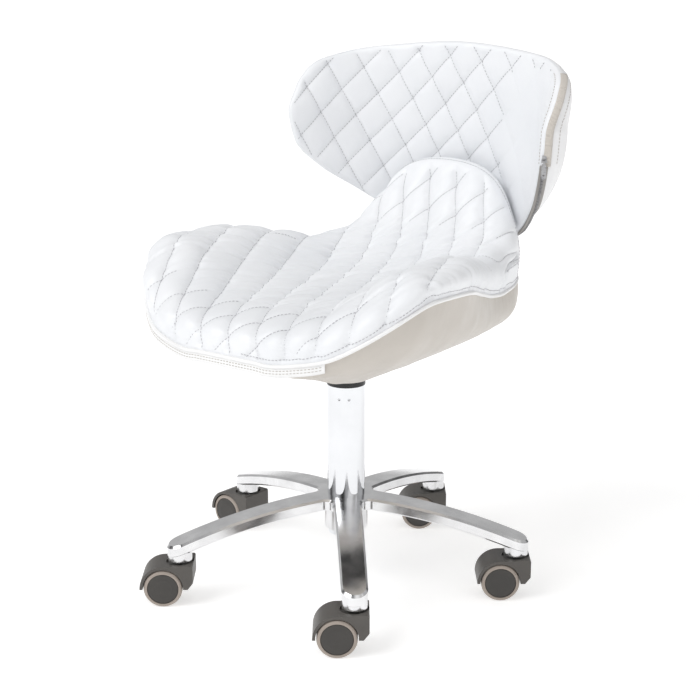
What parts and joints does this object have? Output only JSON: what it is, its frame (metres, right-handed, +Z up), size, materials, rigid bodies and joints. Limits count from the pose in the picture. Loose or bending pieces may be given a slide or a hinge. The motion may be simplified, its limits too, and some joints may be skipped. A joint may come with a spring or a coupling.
{
  "type": "rolling stylist stool",
  "caption": "Height-adjustable rolling stool on a star base with twin-wheel casters, quilted seat with a raised rear tongue and a wrapped wing-shaped low back.",
  "frame": {"origin": "on the floor under the column axis", "axes": "+Z up along the column, -Y the way the sitter faces, +X to the sitter's left"},
  "size_m": [0.5173, 0.5374, 0.697],
  "materials": {
    "polished_aluminium": "polished",
    "chrome_tube": "polished",
    "cylinder_chrome": "polished",
    "black_plastic": "satin",
    "bush_plastic": "satin",
    "steel": "zinc plated",
    "rubber": "matt",
    "black_steel": "powder coat",
    "plywood": "bare",
    "white_leatherette": "quilted, satin",
    "side_leatherette": "smooth, satin",
    "piping_white": "satin",
    "back_leatherette": "smooth, satin",
    "zip_tape": "woven tape with teeth",
    "zip_metal": "satin",
    "lever_steel": "polished",
    "caster_plastic": "fine texture",
    "wheel_plastic": "fine texture",
    "tread_taupe": "soft tread"
  },
  "bodies": {
    "base": {"star_base": "polished_aluminium", "column_tube": "chrome_tube", "column_collar": "black_plastic", "guide_bush": "bush_plastic", "caster_stems": "steel", "thrust_bearing": "steel"},
    "spindle": {"piston_rod": "chrome_tube", "piston": "steel", "rubber_buffer": "rubber", "rod_clip": "steel"},
    "seat": {"gas_cylinder": "cylinder_chrome", "rod_guide": "bush_plastic", "seat_plate": "black_steel", "seat_bolts": "steel", "t_nuts": "steel", "seat_shell": "plywood", "seat_cushion": "white_leatherette", "seat_under_cover": "side_leatherette", "seat_piping": "piping_white", "back_bracket": "black_steel", "back_shell": "plywood", "back_cushion": "white_leatherette", "back_cover": "back_leatherette", "back_zip": "zip_tape", "zip_slider": "zip_metal", "back_screws": "steel"},
    "lever": {"release_lever": "lever_steel", "lever_grip": "black_plastic"},
    "valve_pin": {"release_button": "steel"},
    "zip_tab": {"zip_pull": "zip_metal"},
    "caster_1": {"caster_1_hood": "caster_plastic", "caster_1_axle": "steel"},
    "caster_1_roll_a": {"caster_1_wheel_a": "wheel_plastic", "caster_1_tread_a": "tread_taupe"},
    "caster_1_roll_b": {"caster_1_wheel_b": "wheel_plastic", "caster_1_tread_b": "tread_taupe"},
    "caster_2": {"caster_2_hood": "caster_plastic", "caster_2_axle": "steel"},
    "caster_2_roll_a": {"caster_2_wheel_a": "wheel_plastic", "caster_2_tread_a": "tread_taupe"},
    "caster_2_roll_b": {"caster_2_wheel_b": "wheel_plastic", "caster_2_tread_b": "tread_taupe"},
    "caster_3": {"caster_3_hood": "caster_plastic", "caster_3_axle": "steel"},
    "caster_3_roll_a": {"caster_3_wheel_a": "wheel_plastic", "caster_3_tread_a": "tread_taupe"},
    "caster_3_roll_b": {"caster_3_wheel_b": "wheel_plastic", "caster_3_tread_b": "tread_taupe"},
    "caster_4": {"caster_4_hood": "caster_plastic", "caster_4_axle": "steel"},
    "caster_4_roll_a": {"caster_4_wheel_a": "wheel_plastic", "caster_4_tread_a": "tread_taupe"},
    "caster_4_roll_b": {"caster_4_wheel_b": "wheel_plastic", "caster_4_tread_b": "tread_taupe"},
    "caster_5": {"caster_5_hood": "caster_plastic", "caster_5_axle": "steel"},
    "caster_5_roll_a": {"caster_5_wheel_a": "wheel_plastic", "caster_5_tread_a": "tread_taupe"},
    "caster_5_roll_b": {"caster_5_wheel_b": "wheel_plastic", "caster_5_tread_b": "tread_taupe"}
  },
  "joints": [
    {"name": "seat_swivel", "type": "hinge", "parent": "base", "child": "spindle", "pos_m": [0, 0, 0.06], "axis": [0, 0, 1], "continuous": true},
    {"name": "seat_lift", "type": "slide", "parent": "spindle", "child": "seat", "axis": [0, 0, 1], "range_m": [0, 0.12]},
    {"name": "lever_lift", "type": "hinge", "parent": "seat", "child": "lever", "pos_m": [-0.0435, 0, 0.3135], "axis": [0, 1, 0], "range_deg": [0, 4], "stiffness_Nm_per_rad": 6, "springref_deg": -2.86},
    {"name": "valve_press", "type": "slide", "parent": "seat", "child": "valve_pin", "axis": [0, 0, -1], "range_m": [0, 0.0036], "stiffness_N_per_m": 200},
    {"name": "zip_tab_swing", "type": "hinge", "parent": "seat", "child": "zip_tab", "pos_m": [0.2053, 0.14059, 0.565], "axis": [0.882, 0.4712, 0], "range_deg": [-120, 0]},
    {"name": "caster_1_swivel", "type": "hinge", "parent": "base", "child": "caster_1", "pos_m": [0.214, 0.08429, 0.05], "axis": [0, 0, 1], "continuous": true},
    {"name": "caster_1_wheel_a_spin", "type": "hinge", "parent": "caster_1", "child": "caster_1_roll_a", "pos_m": [0.19723, 0.07166, 0.025], "axis": [0.6018, -0.7986, 0], "continuous": true},
    {"name": "caster_1_wheel_b_spin", "type": "hinge", "parent": "caster_1", "child": "caster_1_roll_b", "pos_m": [0.19723, 0.07166, 0.025], "axis": [0.6018, -0.7986, 0], "continuous": true},
    {"name": "caster_2_swivel", "type": "hinge", "parent": "base", "child": "caster_2", "pos_m": [-0.01404, 0.22957, 0.05], "axis": [0, 0, 1], "continuous": true},
    {"name": "caster_2_wheel_a_spin", "type": "hinge", "parent": "caster_2", "child": "caster_2_roll_a", "pos_m": [-0.03081, 0.21693, 0.025], "axis": [0.6018, -0.7986, 0], "continuous": true},
    {"name": "caster_2_wheel_b_spin", "type": "hinge", "parent": "caster_2", "child": "caster_2_roll_b", "pos_m": [-0.03081, 0.21693, 0.025], "axis": [0.6018, -0.7986, 0], "continuous": true},
    {"name": "caster_3_swivel", "type": "hinge", "parent": "base", "child": "caster_3", "pos_m": [-0.22267, 0.05759, 0.05], "axis": [0, 0, 1], "continuous": true},
    {"name": "caster_3_wheel_a_spin", "type": "hinge", "parent": "caster_3", "child": "caster_3_roll_a", "pos_m": [-0.24365, 0.05869, 0.025], "axis": [-0.0523, -0.9986, 0], "continuous": true},
    {"name": "caster_3_wheel_b_spin", "type": "hinge", "parent": "caster_3", "child": "caster_3_roll_b", "pos_m": [-0.24365, 0.05869, 0.025], "axis": [-0.0523, -0.9986, 0], "continuous": true},
    {"name": "caster_4_swivel", "type": "hinge", "parent": "base", "child": "caster_4", "pos_m": [-0.12358, -0.19398, 0.05], "axis": [0, 0, 1], "continuous": true},
    {"name": "caster_4_wheel_a_spin", "type": "hinge", "parent": "caster_4", "child": "caster_4_roll_a", "pos_m": [-0.14035, -0.20662, 0.025], "axis": [0.6018, -0.7986, 0], "continuous": true},
    {"name": "caster_4_wheel_b_spin", "type": "hinge", "parent": "caster_4", "child": "caster_4_roll_b", "pos_m": [-0.14035, -0.20662, 0.025], "axis": [0.6018, -0.7986, 0], "continuous": true},
    {"name": "caster_5_swivel", "type": "hinge", "parent": "base", "child": "caster_5", "pos_m": [0.1463, -0.17747, 0.05], "axis": [0, 0, 1], "continuous": true},
    {"name": "caster_5_wheel_a_spin", "type": "hinge", "parent": "caster_5", "child": "caster_5_roll_a", "pos_m": [0.12953, -0.19011, 0.025], "axis": [0.6018, -0.7986, 0], "continuous": true},
    {"name": "caster_5_wheel_b_spin", "type": "hinge", "parent": "caster_5", "child": "caster_5_roll_b", "pos_m": [0.12953, -0.19011, 0.025], "axis": [0.6018, -0.7986, 0], "continuous": true}
  ],
  "couplings": [
    {"joint": "valve_press", "follows": "lever_lift", "m_per_rad": 0.05}
  ]
}
